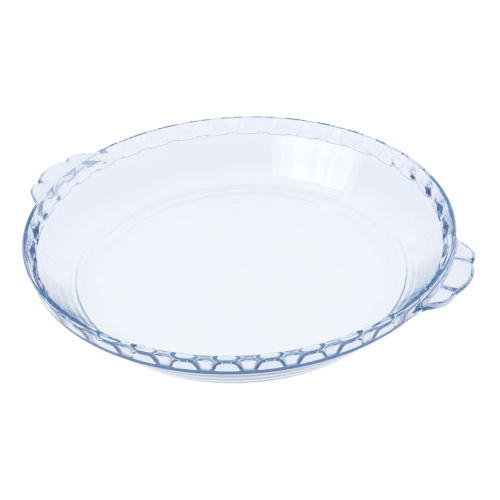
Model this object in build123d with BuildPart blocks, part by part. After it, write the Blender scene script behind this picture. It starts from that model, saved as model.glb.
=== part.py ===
from build123d import *
from math import asin, cos, degrees, radians, sin, sqrt, tan
import os

# Pressed-glass pie dish: one moulding with a crimped collar and two lobed handles.
# Lengths are in millimetres and angles in degrees.
# The origin is under the middle of the base, +Z is up and +X runs through one handle.

# Overall sizes
rim_diameter = 241.0
dish_height = 39.0

# Wall and base: the wall slopes in from the collar's ledge to the floor
wall_run = 20.8
wall_foot_thickness = 4.5
floor_thickness = 4.7
floor_round = 9.0
ledge_round = 3.0

# Underside: a foot ring round a shallow recess
recess_depth = 0.8
recess_slope_width = 2.0
foot_ring_width = 11.0
foot_round = 4.0

# Collar: it stands on a narrow ledge at the top of the wall and overhangs the wall a little
collar_height = 10.4
collar_draft_angle = 12.0
lip_drop = 1.0
lip_overhang = 1.3
rim_outer_round = 1.3
rim_inner_chamfer_width = 0.5
ledge_width = 2.6

# Crimps: scallops pressed into the collar's inner side, with a ridge between each two
crimp_count = 36
crimp_depth = 1.8
crimp_draft_angle = 6.0
ridge_width = 5.9
ridge_thickness = 4.2
ridge_draft_angle = 4.0
ridge_round = 1.2

# Handles: tabs that thin towards the edge, each with three lobes parted by two grooves
tab_width = 68.4
tab_length = 14.0
tab_root_thickness = 5.2
tab_tip_thickness = 3.2
tab_root_drop = 2.4
tab_tip_drop = 1.0
tab_edge_round = 1.2
tab_root_round = 1.4
notch_round = 1.0
groove_width = 2.6
groove_depth = 0.9

# Outline of a handle: shares of its half angle and of its length
flank_end_shares = (0.68, 0.66)
side_lobe_shares = (0.55, 0.80)
notch_shares = (0.37, 0.77)
middle_lobe_shares = (0, 1)

# How far cutting shapes run past what they cut, and how closely an edge is matched
cut_overrun = 2.0
snap = 0.05

# Heights of the main levels
floor_z = recess_depth + floor_thickness
ledge_z = dish_height - collar_height
lip_z = ledge_z - lip_drop

# Radii of the collar, the ledge and the base
rim_radius = rim_diameter / 2
rim_flat_radius = rim_radius - rim_outer_round * tan(radians(45 + collar_draft_angle / 2))
collar_foot_radius = rim_radius - (dish_height - lip_z) * tan(radians(collar_draft_angle))
ridge_foot_radius = collar_foot_radius - ridge_thickness
ridge_top_radius = ridge_foot_radius + collar_height * tan(radians(ridge_draft_angle))
ledge_radius = ridge_foot_radius - ledge_width
floor_radius = ledge_radius - wall_run
foot_radius = floor_radius + wall_foot_thickness
ring_inner_radius = foot_radius - foot_ring_width

# Each crimp is the side of a cone that stands on the ledge and widens upwards
ridge_half_angle = degrees(asin(ridge_width / 2 / ridge_foot_radius))
crimp_half_width = ridge_foot_radius * sin(radians(180 / crimp_count - ridge_half_angle))
crimp_sagitta = crimp_depth + ridge_foot_radius - sqrt(ridge_foot_radius**2 - crimp_half_width**2)
crimp_radius = (crimp_half_width**2 + crimp_sagitta**2) / (2 * crimp_sagitta)
crimp_centre_radius = ridge_foot_radius + crimp_depth - crimp_radius
crimp_cut_height = collar_height + cut_overrun
crimp_top_radius = crimp_radius + crimp_cut_height * tan(radians(crimp_draft_angle))

# Handle angles and levels, and the round bar that presses each groove
tab_half_angle = degrees(asin(tab_width / 2 / rim_radius))
tab_tip_radius = rim_radius + tab_length
tab_root_z = dish_height - tab_root_drop
tab_tip_z = dish_height - tab_tip_drop
groove_bar_radius = ((groove_width / 2) ** 2 + groove_depth**2) / (2 * groove_depth)
groove_bar_z = (tab_root_z + tab_tip_z) / 2 + groove_bar_radius - groove_depth
groove_angle = notch_shares[0] * tab_half_angle


def polar_point(radius, angle):
    """A point in plan, from its radius and its angle to the handle's middle."""
    return (radius * cos(radians(angle)), radius * sin(radians(angle)))


def tab_point(shares, side=1):
    """A point of a handle's outline, to one side of its middle."""
    angle_share, length_share = shares
    return polar_point(rim_radius + length_share * tab_length, side * angle_share * tab_half_angle)


def plan_radius(point):
    """Distance of a point from the dish's axis."""
    return sqrt(point.X**2 + point.Y**2)


def is_notch(corner):
    """The outline's corners between the lobes."""
    notch_x, notch_y = tab_point(notch_shares)
    return abs(corner.X - notch_x) < snap and abs(abs(corner.Y) - notch_y) < snap


def is_tab_outline(edge):
    """The top edges round a handle's outside."""
    middle = edge.center()
    level = edge.bounding_box().size.Z < tab_tip_thickness / 2
    return level and middle.Z > tab_root_z - snap and plan_radius(middle) > rim_radius + snap


def is_tab_root(edge):
    """The edge where a handle's underside meets the collar."""
    middle = edge @ 0.5
    face_radius = rim_radius - (dish_height - middle.Z) * tan(radians(collar_draft_angle))
    on_collar = abs(plan_radius(middle) - face_radius) < snap
    level = edge.bounding_box().size.Z < tab_tip_drop / 2
    under_tab = abs(middle.Z - tab_root_z + tab_root_thickness) < tab_root_thickness / 4
    return on_collar and level and under_tab and abs(middle.Y) > snap


def is_ridge_corner(edge):
    """The upright edges between a crimp and a ridge, from the ledge to the top."""
    box = edge.bounding_box()
    full_height = abs(box.min.Z - ledge_z) < snap and abs(box.max.Z - dish_height) < snap
    return full_height and abs((edge @ 0.5).Y) > snap


def is_crimp_top(edge):
    """The inner edges of the collar's top face."""
    box = edge.bounding_box()
    on_top = abs(box.min.Z - dish_height) < snap and box.size.Z < snap
    return on_top and plan_radius(edge @ 0.5) < rim_flat_radius - snap


# One handle: its outline in plan, cut to a wedge that is turned about the dish's axis
# Its upper edge is rounded, and its lower edge lies on the mould's parting line and is left square
with BuildPart() as handle:
    with BuildSketch() as tab_plan:
        with BuildLine():
            ThreePointArc(
                tab_point(notch_shares, -1),
                tab_point(middle_lobe_shares),
                tab_point(notch_shares),
            )
            for side in (-1, 1):
                ThreePointArc(
                    tab_point(notch_shares, side),
                    tab_point(side_lobe_shares, side),
                    tab_point(flank_end_shares, side),
                )
                Polyline(
                    tab_point(flank_end_shares, side),
                    polar_point(rim_radius, side * tab_half_angle),
                    polar_point(ridge_foot_radius, side * tab_half_angle),
                )
            Line(
                polar_point(ridge_foot_radius, -tab_half_angle),
                polar_point(ridge_foot_radius, tab_half_angle),
            )
        make_face()
        fillet(tab_plan.vertices().filter_by(is_notch), radius=notch_round)
    extrude(amount=dish_height)
    with BuildSketch(Plane.XZ):
        with BuildLine():
            Polyline(
                (collar_foot_radius, tab_root_z - tab_root_thickness),
                (tab_tip_radius, tab_tip_z - tab_tip_thickness),
                (tab_tip_radius, tab_tip_z),
                (collar_foot_radius, tab_root_z),
                close=True,
            )
        make_face()
    revolve(axis=Axis.Z, mode=Mode.INTERSECT)
    fillet(handle.edges().filter_by(is_tab_outline), radius=tab_edge_round)
    with Locations((0, 0, groove_bar_z)):
        with PolarLocations(
            tab_tip_radius,
            2,
            start_angle=-groove_angle,
            angular_range=2 * groove_angle,
            endpoint=True,
        ):
            Cylinder(
                groove_bar_radius,
                2 * (tab_length - groove_width),
                rotation=(0, 90, 0),
                mode=Mode.SUBTRACT,
            )

# The dish: one turned section, with the handles and the crimps
with BuildPart() as glass_dish:
    with BuildSketch(Plane.XZ):
        with BuildLine():
            FilletPolyline(
                (0, recess_depth),
                (ring_inner_radius - recess_slope_width, recess_depth),
                (ring_inner_radius, 0),
                (foot_radius, 0),
                (collar_foot_radius - lip_overhang, lip_z),
                (collar_foot_radius, lip_z),
                (rim_radius, dish_height),
                (ridge_top_radius, dish_height),
                (ridge_foot_radius, ledge_z),
                (ledge_radius, ledge_z),
                (floor_radius, floor_z),
                (0, floor_z),
                radius=[0, 0, foot_round, 0, 0, rim_outer_round, 0, 0, ledge_round, floor_round],
            )
            Line((0, floor_z), (0, recess_depth))
        make_face()
    revolve(axis=Axis.Z)

    # The two handles, blended into the collar along their underside
    with PolarLocations(0, 2):
        add(handle.part)
    fillet(glass_dish.edges().filter_by(is_tab_root), radius=tab_root_round)

    # The crimps, half a pitch round from the handles' middle, where a ridge lies
    with Locations((0, 0, ledge_z)):
        with PolarLocations(crimp_centre_radius, crimp_count, start_angle=180 / crimp_count):
            Cone(
                crimp_radius,
                crimp_top_radius,
                crimp_cut_height,
                align=(Align.CENTER, Align.CENTER, Align.MIN),
                mode=Mode.SUBTRACT,
            )
    fillet(glass_dish.edges().filter_by(is_ridge_corner), radius=ridge_round)
    chamfer(glass_dish.edges().filter_by(is_crimp_top), length=rim_inner_chamfer_width)

glass_dish.part.label = "glass_dish"
os.makedirs("parts", exist_ok=True)
export_step(glass_dish.part, "parts/glass_dish.step")
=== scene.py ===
from functools import lru_cache
from math import atan2, cos, pi, radians, remainder, sin, sqrt, tan

import bmesh
import bpy
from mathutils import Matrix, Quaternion, Vector


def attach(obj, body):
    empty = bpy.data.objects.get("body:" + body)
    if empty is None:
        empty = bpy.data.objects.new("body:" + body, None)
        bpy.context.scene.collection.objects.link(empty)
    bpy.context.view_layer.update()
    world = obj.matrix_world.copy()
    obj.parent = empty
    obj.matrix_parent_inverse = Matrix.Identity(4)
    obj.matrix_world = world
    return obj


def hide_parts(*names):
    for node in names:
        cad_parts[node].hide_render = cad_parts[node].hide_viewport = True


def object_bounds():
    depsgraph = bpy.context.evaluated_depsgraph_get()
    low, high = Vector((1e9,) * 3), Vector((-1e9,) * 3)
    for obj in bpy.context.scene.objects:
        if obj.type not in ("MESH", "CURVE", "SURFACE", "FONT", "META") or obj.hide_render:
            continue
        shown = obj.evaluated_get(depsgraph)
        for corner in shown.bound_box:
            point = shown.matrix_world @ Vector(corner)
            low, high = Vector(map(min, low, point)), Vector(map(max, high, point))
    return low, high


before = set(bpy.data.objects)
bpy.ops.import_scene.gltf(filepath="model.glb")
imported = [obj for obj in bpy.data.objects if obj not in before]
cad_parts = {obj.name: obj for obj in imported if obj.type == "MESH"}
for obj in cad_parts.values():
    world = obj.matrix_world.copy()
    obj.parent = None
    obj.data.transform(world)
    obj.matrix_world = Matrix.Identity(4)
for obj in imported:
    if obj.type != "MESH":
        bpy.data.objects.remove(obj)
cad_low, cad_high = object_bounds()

# Pressed-glass pie dish: one seamless skin with a crimped collar and two lobed handles.
# Lengths are in metres and angles in radians.
# The origin is under the middle of the base, and +X runs through one handle.
MM = 0.001

# Overall sizes, and the levels of the floor, the wall's top and the collar's lip
DISH_HEIGHT = cad_high.z
RIM_RADIUS = 120.44 * MM
RIM_OUTER_ROUND = 1.25 * MM
FLOOR_RADIUS = 93.0 * MM
FLOOR_ROUND = 10.0 * MM
FLOOR_LEVEL = 5.5 * MM
WALL_TOP_LEVEL = 28.6 * MM
LIP_LEVEL = 27.6 * MM

# Base: a foot ring round a shallow recess
FOOT_RADIUS = 95.0 * MM
FOOT_ROUND = 7.0 * MM
FOOT_RING_RADIUS = 88.0 * MM
FOOT_RING_ROUND = 40.0 * MM
RECESS_RADIUS = 78.0 * MM
RECESS_ROUND = 60.0 * MM
RECESS_DEPTH = 0.8 * MM

# Collar: a flared band that overhangs the wall a little, with an inner face that stands on the wall
COLLAR_FOOT_RADIUS = 118.08 * MM
LIP_OVERHANG = 1.1 * MM
LIP_ROOT_ROUND = 0.8 * MM
LIP_EDGE_ROUND = 0.5 * MM
INNER_FOOT_RADIUS = 113.7 * MM
INNER_FOOT_ROUND = 1.2 * MM
INNER_KNEE_LEVEL = 33.2 * MM
INNER_KNEE_ROUND = 2.3 * MM
INNER_TOP_RADIUS = 117.0 * MM
INNER_TOP_ROUND = 0.8 * MM

# Crimps: hollows pressed into the collar's inner side, each narrowing to a round foot on the wall
CRIMP_COUNT = 36
CRIMP_PITCH = 2 * pi / CRIMP_COUNT
CRIMP_FACE_RADIUS = 115.5 * MM
CRIMP_TOP_RADIUS = 117.5 * MM
CRIMP_FOOT_ROUND = 1.8 * MM
CRIMP_FOOT_WIDTH = 8.5 * MM
CRIMP_TOP_WIDTH = 20.0 * MM
CRIMP_BED_SHARE = 0.35

# Handles: tabs that thin towards the edge, each with three lobes parted by two grooves
TAB_TIP_MARGIN = 0.03 * MM
TAB_TIP_RADIUS = cad_high.x - TAB_TIP_MARGIN
TAB_HALF_ANGLE = radians(16.5)
TAB_ROOT_LEVEL = 36.6 * MM
TAB_TIP_LEVEL = 38.0 * MM
TAB_ROOT_THICKNESS = 5.2 * MM
TAB_TIP_THICKNESS = 4.0 * MM
TAB_EDGE_ROUND = 1.9 * MM
TAB_UNDER_ROUND = 3.0 * MM
TAB_UPPER_ROUND = 0.8 * MM
TAB_FLANK_BLEND = 6.0 * MM
TAB_FADE_SHARE = 1.25
NOTCH_BLEND = 0.8 * MM
GROOVE_DEPTH = 1.2 * MM
GROOVE_HALF_WIDTH = 2.4 * MM
GROOVE_START = 2.5 * MM
GROOVE_FADE = 2.0 * MM

# Outline of a handle: shares of its half angle and of its reach past the rim
FLANK_END_SHARES = (0.68, 0.66)
SIDE_LOBE_SHARES = (0.55, 0.80)
NOTCH_SHARES = (0.37, 0.77)
MIDDLE_LOBE_SHARES = (0, 1)
FLANK_ROOT_SHARES = (1, 0)

# The mesh: columns round the dish, drawn together at the crimps and at the handles
COLUMNS_PER_CRIMP = 24
COLUMN_STEP = 2 * pi / (CRIMP_COUNT * COLUMNS_PER_CRIMP)
CRIMP_CROWDING = 0.40
HANDLE_CROWDING = 0.40

# The mesh: how near corners are merged, how closely an edge is in line and how finely levels are told apart
MERGE_DISTANCE = 0.001 * MM
IN_LINE = 0.9999
LEVEL_DIGITS = 7

# The mesh: rows along a handle's section, steps in the dish's rounds and cuts in its straight stretches
STRAIGHT_ROWS = 3
ROUND_ROWS = 4
BASE_STEPS = 3
FOOT_STEPS = 8
LIP_STEPS = 4
RIM_STEPS = 7
INNER_STEPS = 6
FLOOR_STEPS = 12
INNER_FLARE_CUTS = 7
INNER_FACE_CUTS = 6
WALL_CUTS = 3

# The glass: a faint blue that deepens with thickness, and a surface that is slightly uneven
GLASS_IOR = 1.5
GLASS_TINT_LOW = (0.89, 0.91, 0.975)
GLASS_TINT_HIGH = (0.93, 0.95, 0.99)
GLASS_DEPTH_COLOR = (0.34, 0.60, 0.78)
GLASS_DEPTH_DENSITY = 12.0
UNEVEN_SCALE = 28.0
UNEVEN_DETAIL = 2.0
UNEVEN_ROUGHNESS = 0.03
UNEVEN_BUMP_STRENGTH = 0.25
UNEVEN_BUMP_HEIGHT = 0.4 * MM

# The ground: white to the eye; through the glass, warm white under the dish fading to a painted lavender
# shade further out
GROUND_SIZE = 12.0
GROUND_DROP = 0.2 * MM
GROUND_SHADOW_COLOR = (0.2, 0.2, 0.2)
GROUND_PLAIN_COLOR = (0.8, 0.8, 0.8)
GROUND_WHITE = (0.96, 0.96, 0.96)
GROUND_WARM = (0.99, 0.975, 0.925)
GROUND_LAVENDER_SHADE = (0.84, 0.825, 0.83)
GROUND_WARM_RADIUS = 80.0 * MM
GROUND_LAVENDER_SHADE_RADIUS = 130.0 * MM

# The surround: white to the eye, and lavender to a dimmer blue overhead through the glass
SURROUND_WHITE = (1, 1, 1)
SURROUND_LOW = (0.81, 0.80, 0.87)
SURROUND_HIGH = (0.56, 0.63, 0.74)
SURROUND_LOW_SHARE = 0.10
SURROUND_HIGH_SHARE = 0.55

# The window: three tall soft panes side by side
PANE_COUNT = 3
PANE_SPACING = radians(17)
PANE_AZIMUTH = radians(-60)
PANE_ELEVATION = radians(42)
PANE_DISTANCE = 1.4
PANE_WIDTH = 0.38
PANE_HEIGHT = 0.8
PANE_COLOR = (1.0, 0.94, 0.96)
PANE_POWER = 1.2

# Light passes many faces of thick glass before it comes out of the collar
LIGHT_BOUNCES = 48

# The photograph's camera, with its sensor's width in millimetres
PHOTO_PIXELS = 500
FOCAL_PIXELS = 979.3
SENSOR_WIDTH = 36
CLIP_START = 0.01
CAMERA_DISTANCE = 0.5399
CAMERA_AZIMUTH = radians(28.76)
CAMERA_ELEVATION = radians(35.37)
CAMERA_ROLL = radians(-2.64)
CAMERA_AIM = (13.93 * MM, -13.79 * MM, 28.6 * MM)


def smooth_max(a, b, blend):
    """The larger of two lengths, rounded off where they are closer than the blend."""
    near = max(blend - abs(a - b), 0) / blend
    return max(a, b) + near * near * blend / 4


def smooth_step(value, low, high):
    """Rises smoothly from 0 at low to 1 at high."""
    share = min(max((value - low) / (high - low), 0), 1)
    return share * share * (3 - 2 * share)


def draw_section(section, corners):
    """Draws the corners as one chain, then rounds each with its own radius and number of steps."""
    chain = [section.verts.new((x, 0, z)) for x, z, radius, steps in corners]
    for start, end in zip(chain, chain[1:]):
        section.edges.new((start, end))
    for corner, (x, z, radius, steps) in zip(chain, corners):
        if radius:
            before, after = [edge.other_vert(corner).co - corner.co for edge in corner.link_edges]
            turn = pi - before.angle(after)
            bmesh.ops.bevel(
                section,
                geom=[corner],
                offset=radius * tan(turn / 2),
                offset_type="OFFSET",
                segments=steps,
                profile=0.5,
                affect="VERTICES",
                material=-1,
            )


def divide_line(section, start, end, cuts):
    """Divides the section's straight stretch between two of its corners."""
    line = Vector((end[0] - start[0], 0, end[1] - start[1]))
    edges = []
    for edge in section.edges:
        middle = (edge.verts[0].co + edge.verts[1].co) / 2 - Vector((start[0], 0, start[1]))
        share = middle.dot(line) / line.length_squared
        aside = (middle - share * line).length
        along = abs((edge.verts[1].co - edge.verts[0].co).normalized().dot(line.normalized()))
        if 0 < share < 1 and aside < MERGE_DISTANCE and along > IN_LINE:
            edges.append(edge)
    longest = max(edges, key=lambda edge: edge.calc_length())
    bmesh.ops.subdivide_edges(section, edges=[longest], cuts=cuts)


def spin_about_axis(shape, geom, angle, steps, use_duplicate=False):
    """Spins geometry about the dish's axis."""
    bmesh.ops.spin(
        shape,
        geom=geom,
        cent=(0, 0, 0),
        axis=(0, 0, 1),
        dvec=(0, 0, 0),
        angle=angle,
        steps=steps,
        use_duplicate=use_duplicate,
    )


def collar_radius(level):
    """Radius of the collar's outer face at a level."""
    slope = (RIM_RADIUS - COLLAR_FOOT_RADIUS) / (DISH_HEIGHT - LIP_LEVEL)
    return COLLAR_FOOT_RADIUS + (level - LIP_LEVEL) * slope


def crimp_radius(level):
    """Radius of the crimps' bed at a level: a straight face on a round foot."""
    height = level - WALL_TOP_LEVEL
    slope = (CRIMP_TOP_RADIUS - CRIMP_FACE_RADIUS) / (DISH_HEIGHT - WALL_TOP_LEVEL)
    below = max(CRIMP_FOOT_ROUND - height, 0)
    return CRIMP_FACE_RADIUS + height * slope - CRIMP_FOOT_ROUND + sqrt(CRIMP_FOOT_ROUND**2 - below**2)


@lru_cache(maxsize=None)
def crimp_share(angle, level):
    """How much of a crimp's depth is reached at an angle: 1 in its bed and 0 between the crimps."""
    aside = abs(remainder(angle, CRIMP_PITCH)) * CRIMP_FACE_RADIUS
    rise = (level - WALL_TOP_LEVEL) / (DISH_HEIGHT - WALL_TOP_LEVEL)
    width = CRIMP_FOOT_WIDTH + rise * (CRIMP_TOP_WIDTH - CRIMP_FOOT_WIDTH)
    return 1 - smooth_step(aside, CRIMP_BED_SHARE * width / 2, width / 2)


def tab_point(shares, side=1):
    """A point of a handle's outline in plan, to one side of its middle."""
    angle = side * shares[0] * TAB_HALF_ANGLE
    radius = RIM_RADIUS + shares[1] * (TAB_TIP_RADIUS - RIM_RADIUS)
    return Vector((radius * cos(angle), radius * sin(angle)))


def arc_through(a, b, c):
    """Centre and radius of the circle through three points in plan."""
    ab, ac = b - a, c - a
    doubled = 2 * ab.cross(ac)
    offset_x = (ac.y * ab.length_squared - ab.y * ac.length_squared) / doubled
    offset_y = (ab.x * ac.length_squared - ac.x * ab.length_squared) / doubled
    offset = Vector((offset_x, offset_y))
    return a + offset, offset.length


def reach_to_arc(angle, arc):
    """Distance from the dish's axis to the far side of an arc."""
    centre, radius = arc
    along = centre.x * cos(angle) + centre.y * sin(angle)
    aside = centre.y * cos(angle) - centre.x * sin(angle)
    return along + sqrt(max(radius**2 - aside**2, 0))


def reach_to_line(angle, start, end):
    """Distance from the dish's axis to a straight line."""
    direction = end - start
    ray = Vector((cos(angle), sin(angle)))
    return start.cross(direction) / ray.cross(direction)


# A handle's outline as arcs and a flank, and the band of the collar's rows that it grows from
NOTCH = tab_point(NOTCH_SHARES)
MIDDLE_LOBE = arc_through(tab_point(NOTCH_SHARES, -1), tab_point(MIDDLE_LOBE_SHARES), NOTCH)
SIDE_LOBE = arc_through(NOTCH, tab_point(SIDE_LOBE_SHARES), tab_point(FLANK_END_SHARES))
FLANK = (tab_point(FLANK_END_SHARES), tab_point(FLANK_ROOT_SHARES))
FLANK_END_ANGLE = FLANK_END_SHARES[0] * TAB_HALF_ANGLE
GROOVE_ANGLE = NOTCH_SHARES[0] * TAB_HALF_ANGLE
TAB_UNDER_LEVEL = TAB_ROOT_LEVEL - TAB_ROOT_THICKNESS
BAND_LOW = TAB_UNDER_LEVEL - TAB_UNDER_ROUND
BAND_HIGH = TAB_ROOT_LEVEL + TAB_UPPER_ROUND
BAND_ROWS = 2 * (STRAIGHT_ROWS + 2 * ROUND_ROWS)


@lru_cache(maxsize=None)
def tab_reach(angle):
    """How far a handle stands out from the collar's outer face, at an angle from its middle."""
    angle = abs(angle)
    if angle > TAB_FADE_SHARE * TAB_HALF_ANGLE:
        return 0
    if angle < FLANK_END_ANGLE:
        outline = smooth_max(reach_to_arc(angle, MIDDLE_LOBE), reach_to_arc(angle, SIDE_LOBE), NOTCH_BLEND)
    else:
        outline = reach_to_line(angle, *FLANK)
    return smooth_max(min(outline, TAB_TIP_RADIUS) - collar_radius(TAB_ROOT_LEVEL), 0, TAB_FLANK_BLEND)


def tab_surface(out, root_level, tip_level):
    """Level of a handle's top or underside, at a distance out from the collar."""
    return root_level + (tip_level - root_level) * out / (TAB_TIP_RADIUS - COLLAR_FOOT_RADIUS)


@lru_cache(maxsize=None)
def tab_rows(reach):
    """A handle's section, from the collar below it round its edge to the collar above it."""
    size = min(reach / (TAB_UNDER_ROUND + TAB_EDGE_ROUND), 1)
    rows = []
    for upper, root_round, root_level, tip_level in (
        (-1, TAB_UNDER_ROUND, TAB_UNDER_LEVEL, TAB_TIP_LEVEL - TAB_TIP_THICKNESS),
        (1, TAB_UPPER_ROUND, TAB_ROOT_LEVEL, TAB_TIP_LEVEL),
    ):
        root_round, edge_round = size * root_round, size * TAB_EDGE_ROUND
        side = []
        for step in range(ROUND_ROWS):
            turn = pi / 2 * step / (ROUND_ROWS - 1)
            out = root_round * (1 - cos(turn))
            level = tab_surface(out, root_level, tip_level) + upper * root_round * (1 - sin(turn))
            side.append((out, level))
        for step in range(STRAIGHT_ROWS):
            share = (step + 1) / (STRAIGHT_ROWS + 1)
            out = root_round + share * (reach - edge_round - root_round)
            side.append((out, tab_surface(out, root_level, tip_level)))
        for step in range(ROUND_ROWS):
            turn = pi / 2 * step / (ROUND_ROWS - 1)
            out = reach - edge_round * (1 - sin(turn))
            level = tab_surface(out, root_level, tip_level) - upper * edge_round * (1 - cos(turn))
            side.append((out, level))
        rows += side if upper < 0 else side[::-1]
    return rows


def groove_dip(angle, radius):
    """Depth of the grooves in a handle's top."""
    aside = abs(radius * sin(abs(angle) - GROOVE_ANGLE))
    if aside > GROOVE_HALF_WIDTH:
        return 0
    start = collar_radius(TAB_ROOT_LEVEL) + GROOVE_START
    depth = GROOVE_DEPTH * smooth_step(radius, start, start + GROOVE_FADE)
    return depth * (1 + cos(pi * aside / GROOVE_HALF_WIDTH)) / 2


def press_glass(skin):
    """Moves the turned skin's columns and rows into the crimps and the handles."""
    middle_radius = (CRIMP_TOP_RADIUS + COLLAR_FOOT_RADIUS) / 2
    row_height = (BAND_HIGH - BAND_LOW) / (BAND_ROWS - 1)
    for vert in skin.verts:
        radius, level = vert.co.xy.length, round(vert.co.z, LEVEL_DIGITS)
        if radius < MERGE_DISTANCE:
            continue
        angle = COLUMN_STEP * round(atan2(vert.co.y, vert.co.x) / COLUMN_STEP)
        angle -= HANDLE_CROWDING / 2 * sin(2 * angle)
        angle -= CRIMP_CROWDING / CRIMP_COUNT * sin(CRIMP_COUNT * angle)
        if level >= WALL_TOP_LEVEL and radius < middle_radius:
            radius += max(crimp_radius(level) - radius, 0) * crimp_share(angle, level)
        elif BAND_LOW - MERGE_DISTANCE < level < BAND_HIGH + MERGE_DISTANCE and radius > middle_radius:
            aside = remainder(angle, pi)
            reach = tab_reach(aside)
            if reach > 0:
                row = round((level - BAND_LOW) / row_height)
                out, moved = tab_rows(reach)[row]
                blend = smooth_step(reach, 0, TAB_FLANK_BLEND)
                level += blend * (moved - level)
                radius = collar_radius(level) + out
                if row >= BAND_ROWS // 2:
                    level -= groove_dip(aside, radius)
        vert.co = (radius * cos(angle), radius * sin(angle), level)


def make_dish():
    """The whole glass body as one closed skin."""
    skin = bmesh.new()
    wall_foot = (FOOT_RADIUS, 0)
    lip_root = (COLLAR_FOOT_RADIUS - LIP_OVERHANG, LIP_LEVEL)
    band_low = (collar_radius(BAND_LOW), BAND_LOW)
    band_high = (collar_radius(BAND_HIGH), BAND_HIGH)
    inner_top = (INNER_TOP_RADIUS, DISH_HEIGHT)
    inner_knee = (INNER_FOOT_RADIUS, INNER_KNEE_LEVEL)
    wall_top = (INNER_FOOT_RADIUS, WALL_TOP_LEVEL)
    floor_corner = (FLOOR_RADIUS, FLOOR_LEVEL)
    corners = (
        (0, RECESS_DEPTH, 0, 0),
        (RECESS_RADIUS, RECESS_DEPTH, RECESS_ROUND, BASE_STEPS),
        (FOOT_RING_RADIUS, 0, FOOT_RING_ROUND, BASE_STEPS),
        (*wall_foot, FOOT_ROUND, FOOT_STEPS),
        (*lip_root, LIP_ROOT_ROUND, LIP_STEPS),
        (COLLAR_FOOT_RADIUS, LIP_LEVEL, LIP_EDGE_ROUND, LIP_STEPS),
        (*band_low, 0, 0),
        (*band_high, 0, 0),
        (RIM_RADIUS, DISH_HEIGHT, RIM_OUTER_ROUND, RIM_STEPS),
        (*inner_top, INNER_TOP_ROUND, RIM_STEPS),
        (*inner_knee, INNER_KNEE_ROUND, INNER_STEPS),
        (*wall_top, INNER_FOOT_ROUND, INNER_STEPS),
        (*floor_corner, FLOOR_ROUND, FLOOR_STEPS),
        (0, FLOOR_LEVEL, 0, 0),
    )
    draw_section(skin, corners)
    divide_line(skin, band_low, band_high, BAND_ROWS - 2)
    divide_line(skin, inner_top, inner_knee, INNER_FLARE_CUTS)
    divide_line(skin, inner_knee, wall_top, INNER_FACE_CUTS)
    divide_line(skin, wall_top, floor_corner, WALL_CUTS)
    divide_line(skin, wall_foot, lip_root, WALL_CUTS)

    # One crimp's width is turned first, then repeated all round
    spin_about_axis(skin, skin.verts[:] + skin.edges[:], CRIMP_PITCH, COLUMNS_PER_CRIMP)
    spin_about_axis(skin, skin.faces[:], 2 * pi - CRIMP_PITCH, CRIMP_COUNT - 1, use_duplicate=True)
    bmesh.ops.remove_doubles(skin, verts=skin.verts[:], dist=MERGE_DISTANCE)
    press_glass(skin)
    bmesh.ops.recalc_face_normals(skin, faces=skin.faces[:])
    mesh = bpy.data.meshes.new("dish_body")
    skin.to_mesh(mesh)
    skin.free()
    mesh.shade_smooth()
    dish = bpy.data.objects.new("dish_body", mesh)
    bpy.context.scene.collection.objects.link(dish)
    normals = dish.modifiers.new("flat_faces_stay_flat", "WEIGHTED_NORMAL")
    normals.mode = "FACE_AREA"
    return dish


def new_material(name):
    """A material with its nodes and links."""
    material = bpy.data.materials.new(name)
    material.use_nodes = True
    return material, material.node_tree.nodes, material.node_tree.links


def mix_colors(nodes, links, share, first, second):
    """A node that mixes the first colour towards the second by a share."""
    mix = nodes.new("ShaderNodeMix")
    mix.data_type = "RGBA"
    mix.inputs["A"].default_value = (*first, 1)
    mix.inputs["B"].default_value = (*second, 1)
    links.new(share, mix.inputs["Factor"])
    return mix


def mix_shaders(nodes, links, share, first, second):
    """Mixes the first shader towards the second by a share."""
    mix = nodes.new("ShaderNodeMixShader")
    links.new(share, mix.inputs["Fac"])
    links.new(first, mix.inputs[1])
    links.new(second, mix.inputs[2])
    return mix.outputs[0]


def diffuse(nodes, color):
    """A matt shader of one colour."""
    shader = nodes.new("ShaderNodeBsdfDiffuse")
    shader.inputs["Color"].default_value = (*color, 1)
    return shader.outputs[0]


def pressed_glass():
    """Clear pressed glass with a faint blue in its depth and a slightly uneven surface."""
    material, nodes, links = new_material("pressed_glass")
    shader = nodes["Principled BSDF"]
    shader.inputs["Transmission Weight"].default_value = 1.0
    shader.inputs["IOR"].default_value = GLASS_IOR

    place = nodes.new("ShaderNodeTexCoord")
    sweep = nodes.new("ShaderNodeTexNoise")
    sweep.inputs["Scale"].default_value = UNEVEN_SCALE
    sweep.inputs["Detail"].default_value = UNEVEN_DETAIL
    links.new(place.outputs["Object"], sweep.inputs["Vector"])
    polish = nodes.new("ShaderNodeMapRange")
    polish.inputs["To Min"].default_value = 0.0
    polish.inputs["To Max"].default_value = UNEVEN_ROUGHNESS
    links.new(sweep.outputs["Fac"], polish.inputs["Value"])
    links.new(polish.outputs["Result"], shader.inputs["Roughness"])
    bump = nodes.new("ShaderNodeBump")
    bump.inputs["Strength"].default_value = UNEVEN_BUMP_STRENGTH
    bump.inputs["Distance"].default_value = UNEVEN_BUMP_HEIGHT
    links.new(sweep.outputs["Fac"], bump.inputs["Height"])
    links.new(bump.outputs["Normal"], shader.inputs["Normal"])
    tint = mix_colors(nodes, links, sweep.outputs["Fac"], GLASS_TINT_LOW, GLASS_TINT_HIGH)
    links.new(tint.outputs["Result"], shader.inputs["Base Color"])

    depth = nodes.new("ShaderNodeVolumeAbsorption")
    depth.inputs["Color"].default_value = (*GLASS_DEPTH_COLOR, 1)
    depth.inputs["Density"].default_value = GLASS_DEPTH_DENSITY
    links.new(depth.outputs["Volume"], nodes["Material Output"].inputs["Volume"])
    return material


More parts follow.
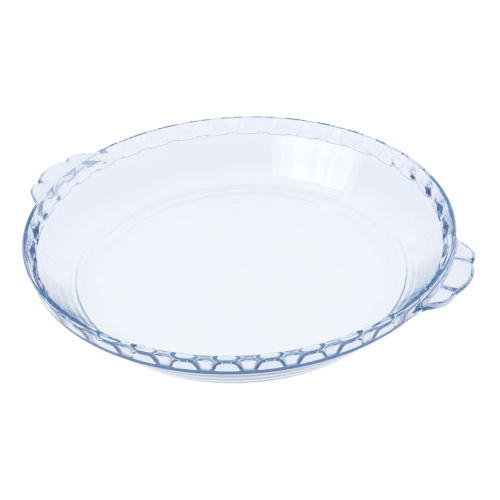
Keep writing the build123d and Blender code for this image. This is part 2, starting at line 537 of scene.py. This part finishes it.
def seen_by_camera(nodes, links, path):
    """1 where the camera looks, straight or by way of the glass, and 0 for the light that falls."""
    total = path.outputs["Is Camera Ray"]
    for name in ("Is Glossy Ray", "Is Transmission Ray"):
        either = nodes.new("ShaderNodeMath")
        either.operation = "MAXIMUM"
        links.new(total, either.inputs[0])
        links.new(path.outputs[name], either.inputs[1])
        total = either.outputs[0]
    return total


def ground_tone_and_shade(nodes, links):
    """The ground's tone through the glass: warm white under the dish, fading to a painted lavender shade
    further out.
    """
    place = nodes.new("ShaderNodeTexCoord")
    distance = nodes.new("ShaderNodeVectorMath")
    distance.operation = "LENGTH"
    links.new(place.outputs["Object"], distance.inputs[0])
    # Painted shade: seen through the glass, the ground dims to lavender with distance from the dish's axis
    shade_share = nodes.new("ShaderNodeMapRange")
    shade_share.inputs["From Min"].default_value = GROUND_WARM_RADIUS
    shade_share.inputs["From Max"].default_value = GROUND_LAVENDER_SHADE_RADIUS
    links.new(distance.outputs["Value"], shade_share.inputs["Value"])
    return mix_colors(nodes, links, shade_share.outputs["Result"], GROUND_WARM, GROUND_LAVENDER_SHADE)


def make_ground():
    """A plain white ground to the eye that keeps a faint shadow; through the glass it carries a painted
    lavender shade further out.
    """
    bpy.ops.mesh.primitive_plane_add(size=GROUND_SIZE, location=(0, 0, -GROUND_DROP))
    ground = bpy.context.object
    ground.name = "ground"
    material, nodes, links = new_material("white_ground")
    nodes.remove(nodes["Principled BSDF"])
    path = nodes.new("ShaderNodeLightPath")

    # Through the glass the ground glows with the painted lavender shade further out; the camera sees it
    # plain white
    seen = mix_colors(nodes, links, path.outputs["Is Camera Ray"], GROUND_WARM, GROUND_WHITE)
    links.new(ground_tone_and_shade(nodes, links).outputs["Result"], seen.inputs["A"])
    glow = nodes.new("ShaderNodeEmission")
    links.new(seen.outputs["Result"], glow.inputs["Color"])
    both = nodes.new("ShaderNodeAddShader")
    links.new(diffuse(nodes, GROUND_SHADOW_COLOR), both.inputs[0])
    links.new(glow.outputs[0], both.inputs[1])
    plain = diffuse(nodes, GROUND_PLAIN_COLOR)
    surface = mix_shaders(nodes, links, seen_by_camera(nodes, links, path), plain, both.outputs[0])
    links.new(surface, nodes["Material Output"].inputs["Surface"])
    ground.data.materials.append(material)


def make_surround():
    """A surround that is white to the camera, and that the glass shows dimmer towards overhead."""
    world = bpy.data.worlds.new("studio")
    bpy.context.scene.world = world
    world.use_nodes = True
    nodes, links = world.node_tree.nodes, world.node_tree.links
    around = nodes["Background"]
    white = nodes.new("ShaderNodeBackground")
    white.inputs["Color"].default_value = (*SURROUND_WHITE, 1)
    place = nodes.new("ShaderNodeTexCoord")
    split = nodes.new("ShaderNodeSeparateXYZ")
    links.new(place.outputs["Generated"], split.inputs[0])
    ramp = nodes.new("ShaderNodeValToRGB")
    near_ground, overhead = ramp.color_ramp.elements
    near_ground.position = SURROUND_LOW_SHARE
    near_ground.color = (*SURROUND_LOW, 1)
    overhead.position = SURROUND_HIGH_SHARE
    overhead.color = (*SURROUND_HIGH, 1)
    links.new(split.outputs["Z"], ramp.inputs["Fac"])
    links.new(ramp.outputs["Color"], around.inputs["Color"])
    path = nodes.new("ShaderNodeLightPath")
    straight = path.outputs["Is Camera Ray"]
    surface = mix_shaders(nodes, links, straight, around.outputs[0], white.outputs[0])
    links.new(surface, nodes["World Output"].inputs["Surface"])


def direction(azimuth, elevation):
    """Unit vector from the dish towards an azimuth and elevation, where azimuth 0 looks along +Y."""
    return Vector((sin(azimuth) * cos(elevation), -cos(azimuth) * cos(elevation), sin(elevation)))


def make_window():
    """Soft panes of light that point at the dish from the camera's left."""
    for pane in range(PANE_COUNT):
        name = f"window_pane_{pane + 1}"
        data = bpy.data.lights.new(name, "AREA")
        data.shape = "RECTANGLE"
        data.size, data.size_y = PANE_WIDTH, PANE_HEIGHT
        data.color = PANE_COLOR
        data.energy = PANE_POWER
        lamp = bpy.data.objects.new(name, data)
        turn = PANE_AZIMUTH + PANE_SPACING * (pane - (PANE_COUNT - 1) / 2)
        away = direction(CAMERA_AZIMUTH + turn, PANE_ELEVATION)
        lamp.location = away * PANE_DISTANCE
        lamp.rotation_mode = "QUATERNION"
        lamp.rotation_quaternion = away.to_track_quat("Z", "Y")
        bpy.context.scene.collection.objects.link(lamp)


def make_camera():
    """The photograph's camera."""
    data = bpy.data.cameras.new("camera")
    data.sensor_width = SENSOR_WIDTH
    data.lens = FOCAL_PIXELS / PHOTO_PIXELS * SENSOR_WIDTH
    data.clip_start = CLIP_START
    camera = bpy.data.objects.new("camera", data)
    back = direction(CAMERA_AZIMUTH, CAMERA_ELEVATION)
    camera.location = Vector(CAMERA_AIM) + back * CAMERA_DISTANCE
    camera.rotation_mode = "QUATERNION"
    roll = Quaternion((0, 0, 1), CAMERA_ROLL)
    camera.rotation_quaternion = (-back).to_track_quat("-Z", "Y") @ roll
    bpy.context.scene.collection.objects.link(camera)
    bpy.context.scene.camera = camera


dish = make_dish()
dish.data.materials.append(pressed_glass())
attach(dish, "root")
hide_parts("glass_dish")

make_ground()
make_surround()
make_window()
make_camera()
bpy.context.scene.view_settings.view_transform = "Standard"
bpy.context.scene.cycles.max_bounces = LIGHT_BOUNCES
bpy.context.scene.cycles.transmission_bounces = LIGHT_BOUNCES
bpy.context.scene.cycles.glossy_bounces = LIGHT_BOUNCES
